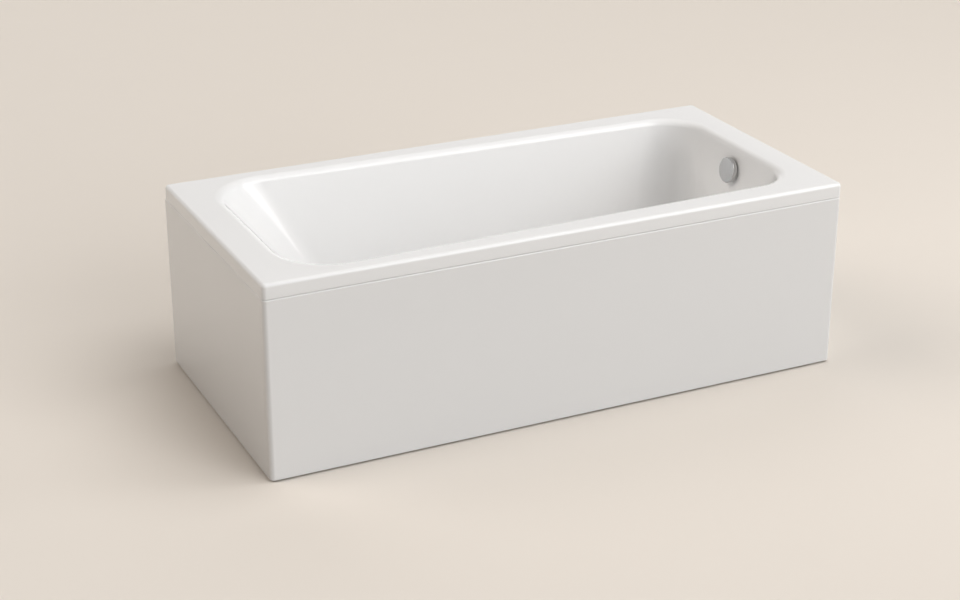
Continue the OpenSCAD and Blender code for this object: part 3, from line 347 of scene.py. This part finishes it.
def fibre_back(name):
    """Chopped glass fibre in resin: rough, yellowish white, with strands that cross every way."""
    pale_strand, dark_resin = (0.66, 0.63, 0.55), (0.5, 0.47, 0.38)
    finish, nodes, links, shader, place = blank_finish(name)
    strands = speckle(nodes, links, place, scale=90, detail=6, stretch=(1, 0.16, 0.5))
    across = speckle(nodes, links, place, scale=80, detail=6, stretch=(0.18, 1, 0.6))
    heap = worked_out(nodes, links, "ADD", strands, across)
    links.new(between(nodes, links, strands, pale_strand, dark_resin), shader.inputs["Base Color"])
    links.new(speckle(nodes, links, place, scale=40, low=0.45, high=0.7), shader.inputs["Roughness"])
    links.new(relief(nodes, links, heap, depth=0.0006, strength=0.7), shader.inputs["Normal"])
    return finish


shell_white, shell_white_drawn = (0.872, 0.868, 0.862), (0.876, 0.872, 0.866)
boss_radius, boss_low, boss_top = 0.044, 0.112, 0.1205
recess_radius, recess_floor = 0.038, 0.12
hole_radius = 0.026
below_floor, above_floor = 0.1, 0.2
wall_reach = 0.012
shell.data.materials.append(gloss_acrylic("shell_acrylic", shell_white, shell_white_drawn))
shell.data.materials.append(fibre_back("fibre_back"))
for name, outline, axis, operation in (
        ("boss", disc(boss_radius, boss_low, boss_top), waste_axis, "UNION"),
        ("recess", disc(recess_radius, recess_floor, above_floor), waste_axis, "DIFFERENCE"),
        ("waste_hole", disc(hole_radius, below_floor, above_floor), waste_axis, "DIFFERENCE"),
        ("overflow_hole", disc(hole_radius, -wall_reach, wall_reach), overflow_axis, "DIFFERENCE")):
    cut_or_join(shell, turned(name, outline, axis), operation)
smooth(shell)
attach(shell, "tub")
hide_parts("tub_shell")

# The board under the floor. A thick sheet of chipboard, glued to the back of the shell under resin,
# that spreads the bather's weight. The cradles are screwed to it.


def dress(finish, *names):
    """Gives pieces that keep their CAD shape their real finish."""
    for name in names:
        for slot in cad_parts[name].material_slots:
            slot.material = finish


def flakes(nodes, links, place, scale):
    """Random values that stay the same over each flake, of about 1 / scale metres."""
    cells = nodes.new("ShaderNodeTexVoronoi")
    cells.inputs["Scale"].default_value = scale
    links.new(place, cells.inputs["Vector"])
    parts = nodes.new("ShaderNodeSeparateColor")
    links.new(cells.outputs["Color"], parts.inputs["Color"])
    return parts.outputs


def chipboard(name):
    """Pressed wood chips, each with its own shade, in a rough sheet."""
    pale_chip, dark_chip = (0.56, 0.42, 0.26), (0.36, 0.24, 0.13)
    finish, nodes, links, shader, place = blank_finish(name)
    tone = flakes(nodes, links, place, scale=240)["Red"]
    links.new(between(nodes, links, tone, pale_chip, dark_chip), shader.inputs["Base Color"])
    links.new(speckle(nodes, links, place, scale=120, low=0.65, high=0.85), shader.inputs["Roughness"])
    links.new(relief(nodes, links, tone, depth=0.0002, strength=0.6), shader.inputs["Normal"])
    return finish


dress(chipboard("board_chips"), "base_board")

# The battens. Four lengths of planed softwood, set in resin under the rim to stiffen it. The clips
# and packers of the panels are screwed up into them.


def softwood(name, stretch):
    """Planed softwood, whose grain runs the way that the stretch draws it out."""
    pale_wood, dark_wood = (0.66, 0.5, 0.31), (0.42, 0.26, 0.12)
    finish, nodes, links, shader, place = blank_finish(name)
    grain = speckle(nodes, links, place, scale=160, detail=5, stretch=stretch)
    band = speckle(nodes, links, place, scale=14, detail=2, stretch=stretch)
    share = worked_out(nodes, links, "MULTIPLY", grain, band)
    links.new(between(nodes, links, share, pale_wood, dark_wood), shader.inputs["Base Color"])
    links.new(speckle(nodes, links, place, scale=60, low=0.5, high=0.7), shader.inputs["Roughness"])
    links.new(relief(nodes, links, grain, depth=0.00015, strength=0.6), shader.inputs["Normal"])
    return finish


grain_along_x, grain_along_y = (0.03, 1, 1), (1, 0.03, 1)
dress(softwood("batten_long_grain", grain_along_x), "rim_batten_front", "rim_batten_back")
dress(softwood("batten_short_grain", grain_along_y), "rim_batten_head", "rim_batten_foot")

# The cradles. Two channels folded from galvanized strip, across the bath under the board, each held
# by four zinc screws.


def galvanized(name):
    """Hot-dipped zinc: dull grey with the flat spangles of its crystals."""
    dark_spangle, pale_spangle = (0.46, 0.47, 0.48), (0.63, 0.64, 0.65)
    glossy, dull = 0.32, 0.5
    finish, nodes, links, shader, place = blank_finish(name, metallic=0.9)
    spangle = flakes(nodes, links, place, scale=110)
    links.new(between(nodes, links, spangle["Red"], dark_spangle, pale_spangle),
              shader.inputs["Base Color"])
    span = nodes.new("ShaderNodeMapRange")
    span.inputs["To Min"].default_value = glossy
    span.inputs["To Max"].default_value = dull
    links.new(spangle["Green"], span.inputs["Value"])
    links.new(span.outputs["Result"], shader.inputs["Roughness"])
    links.new(relief(nodes, links, speckle(nodes, links, place, scale=60), depth=0.00005),
              shader.inputs["Normal"])
    return finish


def mottled(name, tones, tone_scale, roughness, roughness_scale, metallic=1.0):
    """A finish whose colour and roughness each drift between two values, over fine features."""
    finish, nodes, links, shader, place = blank_finish(name, metallic)
    tone = speckle(nodes, links, place, tone_scale)
    links.new(between(nodes, links, tone, *tones), shader.inputs["Base Color"])
    links.new(speckle(nodes, links, place, roughness_scale, *roughness), shader.inputs["Roughness"])
    return finish


galvanized_finish = galvanized("galvanized_strip")
zinc_finish = mottled("zinc_plate", tones=((0.7, 0.7, 0.69), (0.58, 0.58, 0.55)), tone_scale=300,
                      roughness=(0.22, 0.4), roughness_scale=500)
dress(galvanized_finish, "cradle_head", "cradle_foot")
dress(zinc_finish, "cradle_screws")

# The legs. Four threaded steel studs through the cradles, each locked by a nut above and below, and
# standing in a moulded plastic pad. They are screwed up or down to level the bath.


def moulded_plastic(name, colour, shade, roughness, grain):
    """Injection-moulded plastic with the fine texture of its mould."""
    finish, nodes, links, shader, place = blank_finish(name)
    uneven = 0.06
    links.new(between(nodes, links, speckle(nodes, links, place, scale=30), colour, shade),
              shader.inputs["Base Color"])
    links.new(speckle(nodes, links, place, scale=200, low=roughness - uneven, high=roughness + uneven),
              shader.inputs["Roughness"])
    links.new(relief(nodes, links, speckle(nodes, links, place, grain), depth=0.00005),
              shader.inputs["Normal"])
    return finish


def tube_faces(rings, sides):
    """The faces of a tube of so many rings, closed at both ends."""
    faces = []
    for i in range(rings - 1):
        for j in range(sides):
            a, b = i * sides + j, i * sides + (j + 1) % sides
            faces.append((a, b, b + sides, a + sides))
    faces.append(tuple(range(sides))[::-1])
    faces.append(tuple((rings - 1) * sides + j for j in range(sides)))
    return faces


stud_radius = 0.005
thread_pitch = 0.0015
thread_depth = 0.6 * thread_pitch


def threaded_stud(name, x, y, low, high, radius, pitch, depth):
    """A stud with its thread as one helix cut into it, which runs out in a turn at both ends."""
    sides, per_turn = 24, 6
    rows = int((high - low) / pitch * per_turn)
    points = []
    for row in range(rows + 1):
        z = low + (high - low) * row / rows
        near_end = min(1, (z - low) / pitch, (high - z) / pitch)
        for j in range(sides):
            turn = ((z - low) / pitch - j / sides) % 1
            cut = depth * near_end * (1 - abs(2 * turn - 1))
            points.append((x + (radius - cut) * math.cos(2 * math.pi * j / sides),
                           y + (radius - cut) * math.sin(2 * math.pi * j / sides), z))
    return mesh_piece(name, points, tube_faces(rows + 1, sides))


black_plastic = moulded_plastic("black_moulding", (0.035, 0.035, 0.038), (0.05, 0.05, 0.053),
                                roughness=0.5, grain=900)
for end in ("head", "foot"):
    for side in ("front", "back"):
        low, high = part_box(f"leg_stud_{end}_{side}")
        middle = (low + high) / 2
        stud = threaded_stud(f"threaded_stud_{end}_{side}", middle.x, middle.y, low.z, high.z,
                             stud_radius, thread_pitch, thread_depth)
        stud.data.materials.append(zinc_finish)
        smooth(stud, angle=50)
        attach(stud, f"leg_{end}_{side}")
        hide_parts(f"leg_stud_{end}_{side}")
        dress(black_plastic, f"foot_pad_{end}_{side}")
dress(zinc_finish, "leg_nuts")

# The wall brackets. Two angles folded from galvanized strip and screwed to the wall. The back rim
# stands on them, which keeps its joint to the tiles tight.
dress(galvanized_finish, "wall_bracket_head", "wall_bracket_foot")

# The waste. A chrome flange screwed down through the floor into a moulded housing, with a seal under
# the flange and a thick washer above the housing. The cup below holds the trap's water.
white_plastic = moulded_plastic("white_moulding", (0.74, 0.74, 0.72), (0.7, 0.7, 0.68),
                                roughness=0.38, grain=700)
rubber_finish = mottled("seal_rubber", tones=((0.025, 0.025, 0.025), (0.05, 0.05, 0.048)),
                        tone_scale=150, roughness=(0.7, 0.9), roughness_scale=400, metallic=0.0)
chrome_finish = mottled("chrome_plate", tones=((0.56, 0.56, 0.56), (0.53, 0.53, 0.53)), tone_scale=40,
                        roughness=(0.04, 0.1), roughness_scale=700)
dress(chrome_finish, "waste_flange")
dress(rubber_finish, "waste_flange_seal", "waste_seal")
dress(white_plastic, "waste_housing", "trap_cup", "drain_pipe")
dress(black_plastic, "drain_nut")

# The plug. A domed chrome cap with a grooved neck and a rubber seal. It stands loose on a steel pin,
# which a plastic wedge lifts from below when the knob is turned.
most_of_edge = 0.45


def rounded_outline(corners, radius, steps=6):
    """The outline with each corner off the axis rounded, by the radius or the corner's own."""
    outline = []
    for i, corner in enumerate(corners):
        here = Vector(corner[:2])
        r = corner[2] if len(corner) > 2 else radius
        if r == 0 or here.x < on_axis:
            outline.append(tuple(here))
            continue
        back = Vector(corners[i - 1][:2]) - here
        on = Vector(corners[(i + 1) % len(corners)][:2]) - here
        half = back.angle(on) / 2
        reach = min(r / math.tan(half), most_of_edge * back.length, most_of_edge * on.length)
        start, end = here + back.normalized() * reach, here + on.normalized() * reach
        for step in range(steps + 1):
            t = step / steps
            outline.append(tuple((1 - t) ** 2 * start + 2 * t * (1 - t) * here + t * t * end))
    return outline


plug_seat = 0.1243
pin_bore_radius, pin_bore_top = 0.0033, 0.1213
neck_radius, neck_foot_radius = 0.014, 0.016
neck_low, neck_foot_top = 0.1133, 0.1153
cap_radius, cap_rim_height = 0.031, 0.0028
cap_edge_radius = 0.0006
crown_radius, crown_low, crown_rise = 0.0302, 0.003, 0.0025
crown_steps = 12
plug_outline = rounded_outline(
    [(0, pin_bore_top, 0), (pin_bore_radius, pin_bore_top, 0), (pin_bore_radius, neck_low, 0),
     (neck_foot_radius, neck_low), (neck_foot_radius, neck_foot_top), (neck_radius, neck_foot_top, 0),
     (neck_radius, plug_seat, 0), (cap_radius, plug_seat), (cap_radius, plug_seat + cap_rim_height)],
    cap_edge_radius)
for step in range(1, crown_steps + 1):
    share = step / crown_steps
    plug_outline.append((crown_radius * (1 - share),
                         plug_seat + crown_low + crown_rise * (1 - (1 - share) ** 2)))
plug = turned("plug_cap", plug_outline, waste_axis)
plug.data.materials.append(chrome_finish)
smooth(plug)
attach(plug, "plug")
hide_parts("plug")
ivory_plastic = moulded_plastic("ivory_moulding", (0.68, 0.63, 0.5), (0.63, 0.58, 0.45),
                                roughness=0.4, grain=700)
dress(rubber_finish, "plug_seal")
dress(zinc_finish, "lift_pin")
dress(ivory_plastic, "lift_wedge")

# The overflow. A chrome flange with a spoked hub through the foot wall, screwed to a moulded housing
# behind it. Inside, a cam on the knob's brass spindle works the cable.
brass_finish = mottled("spindle_brass", tones=((0.62, 0.45, 0.18), (0.5, 0.34, 0.12)), tone_scale=200,
                       roughness=(0.22, 0.38), roughness_scale=500)
dress(chrome_finish, "overflow_flange")
dress(rubber_finish, "overflow_flange_seal", "overflow_gasket")
dress(white_plastic, "overflow_elbow")
dress(brass_finish, "knob_spindle")
dress(ivory_plastic, "cable_cam")

# The knob. A drum of chromed brass with an open back, pressed on the spindle a few millimetres off
# the wall, so that water runs away behind its skirt. It is turned to lift the plug.
knob_radius, knob_front, knob_back = 0.0375, 0.019, 0.004
skirt_radius, face_back = 0.034, 0.014
hub_radius, hub_back = 0.0088, 0.009
spindle_bore_radius = 0.00405
face_edge_radius, skirt_edge_radius, inner_edge_radius, hub_edge_radius = 0.003, 0.0008, 0.001, 0.0006
knob_outline = rounded_outline(
    [(0, face_back, 0), (spindle_bore_radius, face_back, 0), (spindle_bore_radius, hub_back, 0),
     (hub_radius, hub_back, hub_edge_radius), (hub_radius, face_back), (skirt_radius, face_back),
     (skirt_radius, knob_back, skirt_edge_radius), (knob_radius, knob_back, skirt_edge_radius),
     (knob_radius, knob_front, face_edge_radius), (0, knob_front, 0)], inner_edge_radius, steps=8)
knob = turned("overflow_turn_knob", knob_outline, overflow_axis, steps=128)
knob.data.materials.append(chrome_finish)
smooth(knob)
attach(knob, "knob")
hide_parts("overflow_knob")

# The overflow hose. A corrugated grey plastic hose with plain cuffs, pushed into the sockets of the
# overflow and the waste and held at each end by a black nut.


def swept(name, centres, radii, sides, side):
    """A round tube along the centres, with its own radius at each and its first edge to the side."""
    points = []
    last = len(centres) - 1
    for i, centre in enumerate(centres):
        along = (centres[min(i + 1, last)] - centres[max(i - 1, 0)]).normalized()
        side = (side - side.dot(along) * along).normalized()
        other = along.cross(side)
        for j in range(sides):
            a = 2 * math.pi * j / sides
            points.append(centre + radii[i] * (math.cos(a) * side + math.sin(a) * other))
    return mesh_piece(name, points, tube_faces(len(centres), sides))


wall_down = Vector((-math.cos(foot_angle), 0, -math.sin(foot_angle)))
wall_out = Vector((math.sin(foot_angle), 0, -math.cos(foot_angle)))
outlet_depth = 0.028
outlet_drop = 0.0443
hose_end_x = 0.6123
hose_level = 0.084
hose_bend = 0.088
hose_radius = 0.014
hose_sides = 32
least_cuff = 2 * hose_radius
rib_depth = 0.0018
rib_pitch = 0.0055
rings_per_rib = 8
outlet_centre = overflow_axis.translation + wall_out * outlet_depth
hose_top = outlet_centre + wall_down * outlet_drop
hose_corner_x = hose_top.x + wall_down.x * (hose_top.z - hose_level) / -wall_down.z
hose_tangent = hose_bend * math.tan(foot_angle / 2)
hose_drop = (Vector((hose_corner_x, 0, hose_level)) - hose_top).length - hose_tangent
hose_arc = hose_bend * foot_angle
hose_length = hose_drop + hose_arc + hose_corner_x - hose_tangent - hose_end_x
hose_centre = hose_top + wall_down * hose_drop - wall_out * hose_bend


def hose_point(s):
    """The middle of the hose at length s: down behind the foot wall, round its bend and level."""
    if s <= hose_drop:
        return hose_top + wall_down * s
    if s <= hose_drop + hose_arc:
        a = (s - hose_drop) / hose_bend
        return hose_centre + hose_bend * (math.cos(a) * wall_out + math.sin(a) * wall_down)
    return Vector((hose_corner_x - hose_tangent - (s - hose_drop - hose_arc), 0, hose_level))


rib_count = int((hose_length - 2 * least_cuff) / rib_pitch)
cuff_length = (hose_length - rib_count * rib_pitch) / 2
hose_places = [0.0, cuff_length / 2]
hose_places += [cuff_length + i * rib_pitch / rings_per_rib
                for i in range(rings_per_rib * rib_count + 1)]
hose_places += [hose_length - cuff_length / 2, hose_length]
hose_radii = []
for s in hose_places:
    rib = (s - cuff_length) / rib_pitch
    groove = rib_depth * (0.5 - 0.5 * math.cos(2 * math.pi * rib)) if 0 <= rib <= rib_count else 0
    hose_radii.append(hose_radius - groove)
hose = swept("ribbed_hose", [hose_point(s) for s in hose_places], hose_radii, hose_sides,
             side=Vector((0, 1, 0)))
hose.data.materials.append(moulded_plastic("hose_plastic", (0.42, 0.43, 0.43), (0.38, 0.39, 0.39),
                                           roughness=0.42, grain=500))
smooth(hose, angle=60)
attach(hose, "tub")
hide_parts("overflow_hose")
dress(black_plastic, "hose_nut_top", "hose_nut_bottom")

# The cable. A steel wire in a black plastic casing, held by the gland of the overflow at its top and
# by the guide of the wedge at its foot, and just long enough for the bends between them.
gland_drop = 0.036
gland_y = -0.028
guide_y = -0.073
wedge_level = 0.084
cable_straight = 0.012
cable_radius = 0.0025
cable_steps = 10
cable_sides = 16
cable_top = outlet_centre + wall_down * gland_drop + Vector((0, gland_y, 0))
cable_low = Vector((waste_x, guide_y, wedge_level))
cable_knots = [cable_top, cable_top + wall_down * cable_straight]
# Each knot on the way: its share of the length, its place across the bath, its share of the height.
for along, y, up in ((0.967, -0.029, 0.907), (0.934, -0.032, 0.735), (0.896, -0.044, 0.534),
                     (0.839, -0.066, 0.347), (0.731, -0.094, 0.195), (0.561, -0.122, 0.089),
                     (0.363, -0.14, 0.032), (0.137, -0.138, 0.006), (0, -0.112, 0)):
    cable_knots.append(Vector((waste_x + along * (cable_top.x - waste_x), y,
                               wedge_level + up * (cable_top.z - wedge_level))))
cable_knots += [cable_low - Vector((0, cable_straight, 0)), cable_low]
cable_centres = []
for i in range(len(cable_knots) - 1):
    a, b = cable_knots[max(i - 1, 0)], cable_knots[i]
    c, d = cable_knots[i + 1], cable_knots[min(i + 2, len(cable_knots) - 1)]
    for step in range(cable_steps):
        t = step / cable_steps
        cable_centres.append(0.5 * (2 * b + (c - a) * t + (2 * a - 5 * b + 4 * c - d) * t * t
                                    + (3 * b - a - 3 * c + d) * t * t * t))
cable_centres.append(cable_low)
cable = swept("cable_in_casing", cable_centres, [cable_radius] * len(cable_centres), cable_sides,
              side=Vector((0, 1, 0.2)))
cable.data.materials.append(black_plastic)
smooth(cable, angle=60)
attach(cable, "tub")
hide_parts("cable_casing")

# The end panels. Acrylic sheets with folded flanges, screwed up through softwood packers into the
# battens, and held at the foot by steel stays that are bolted to the cradles.
panel_white, panel_white_drawn = (0.818, 0.813, 0.806), (0.822, 0.817, 0.81)
panel_finish = gloss_acrylic("panel_acrylic", panel_white, panel_white_drawn)
dress(panel_finish, "head_panel", "foot_panel")
dress(softwood("packer_grain", grain_along_y), "panel_packers")
dress(galvanized_finish, "head_stay", "foot_stay")
dress(zinc_finish, "packer_screws", "stay_bolts")

# The front panel. One acrylic sheet whose ends turn round both corners. Its top flange pushes into
# plastic clips under the front batten, and two keeper plates behind its foot meet magnets on arms.
nickel_finish = mottled("magnet_nickel_plate", tones=((0.62, 0.59, 0.54), (0.54, 0.51, 0.46)),
                        tone_scale=120, roughness=(0.15, 0.3), roughness_scale=300)
dress(panel_finish, "front_panel")
dress(black_plastic, "panel_clips")
dress(zinc_finish, "clip_screws", "keeper_plates")
dress(galvanized_finish, "catch_arms")
dress(nickel_finish, "catch_magnets")

# The room. A plain pale floor without an end in sight, under broad soft lamps: the strongest light the
# rim and the front panel, the head end lies in half shade, and gloss shows a soft box and a pale wall.
floor_half = 30
floor_slab = mesh_piece("floor", [(-floor_half, -floor_half, 0), (floor_half, -floor_half, 0),
                                  (floor_half, floor_half, 0), (-floor_half, floor_half, 0)],
                        [(0, 1, 2, 3)])
floor_colour, floor_patch = (0.76, 0.703, 0.638), (0.757, 0.7, 0.635)
floor_bounce = (0.4, 0.37, 0.336)


def seen_share(nodes, links):
    """1 for what the camera, gloss and glass see, and 0 for light on its way between matt faces."""
    path = nodes.new("ShaderNodeLightPath")
    seen = path.outputs["Is Camera Ray"]
    for kind in ("Is Glossy Ray", "Is Transmission Ray"):
        seen = worked_out(nodes, links, "MAXIMUM", seen, path.outputs[kind])
    return seen


floor_finish, nodes, links, shader, place = blank_finish("floor_paint")
paint = between(nodes, links, speckle(nodes, links, place, scale=3), floor_colour, floor_patch)
paint_share = between(nodes, links, seen_share(nodes, links), floor_bounce, floor_colour)
links.new(paint, paint_share.node.inputs["B"])
links.new(paint_share, shader.inputs["Base Color"])
shader.inputs["Roughness"].default_value = 0.9
shader.inputs["Specular IOR Level"].default_value = 0.1
floor_slab.data.materials.append(floor_finish)

white_light = (1, 1, 1)
bath_middle = Vector((0, 0, 0.3))


def lamp(name, kind, direction, energy, size, colour=white_light, distance=4.0):
    """A lamp that way from the bath: a sun whose disc is size degrees wide, or a square soft box."""
    data = bpy.data.lights.new(name, kind)
    data.energy = energy
    data.color = colour
    if kind == "SUN":
        data.angle = math.radians(size)
    else:
        data.shape = "RECTANGLE"
        data.size = data.size_y = size
    there = bpy.data.objects.new(name, data)
    there.location = bath_middle + Vector(direction).normalized() * distance
    there.rotation_euler = Vector(direction).to_track_quat("Z", "Y").to_euler()
    bpy.context.scene.collection.objects.link(there)
    return there


no_light = (0, 0, 0)
wall_low, wall_high = (1, 0.985, 0.97), (0.54, 0.53, 0.525)
bright_below, plain_above = 0.05, 0.35


def backdrop(light, low, high):
    """The world: it sheds the light given on matt faces, and gloss shows a wall, bright low down."""
    world = bpy.data.worlds.new("studio")
    world.use_nodes = True
    nodes, links = world.node_tree.nodes, world.node_tree.links
    upward = nodes.new("ShaderNodeSeparateXYZ")
    links.new(nodes.new("ShaderNodeTexCoord").outputs["Generated"], upward.inputs["Vector"])
    rise = nodes.new("ShaderNodeMapRange")
    rise.inputs["From Min"].default_value = bright_below
    rise.inputs["From Max"].default_value = plain_above
    links.new(upward.outputs["Z"], rise.inputs["Value"])
    wall = between(nodes, links, rise.outputs["Result"], low, high)
    colour = between(nodes, links, seen_share(nodes, links), light, low)
    links.new(wall, colour.node.inputs["B"])
    links.new(colour, nodes["Background"].inputs["Color"])
    bpy.context.scene.world = world


sun_disc_degrees = 45
warm_light = (1, 0.935, 0.872)
for name, direction, energy, colour in (
        ("high_right_light", (0.382, -0.182, 0.906), 1.42, white_light),
        ("low_front_light", (0.323, -0.91, 0.259), 1.489, white_light),
        ("warm_left_light", (-0.692, 0.329, 0.643), 1.25, warm_light),
        ("back_light", (0.329, 0.692, 0.643), 0.522, white_light),
        ("front_light", (0.256, -0.722, 0.643), 0.25, white_light)):
    lamp(name, "SUN", direction, energy, sun_disc_degrees, colour).visible_glossy = False
lamp("right_soft_box", "AREA", (4.0, -1.8, 2.4), energy=38, size=2.0,
     distance=5.0).visible_glossy = False
lamp("gloss_soft_box", "AREA", (0.5167, -0.6482, 0.559), energy=74, size=3.56).visible_diffuse = False
backdrop(no_light, wall_low, wall_high)
bpy.context.scene.view_settings.view_transform = "Standard"
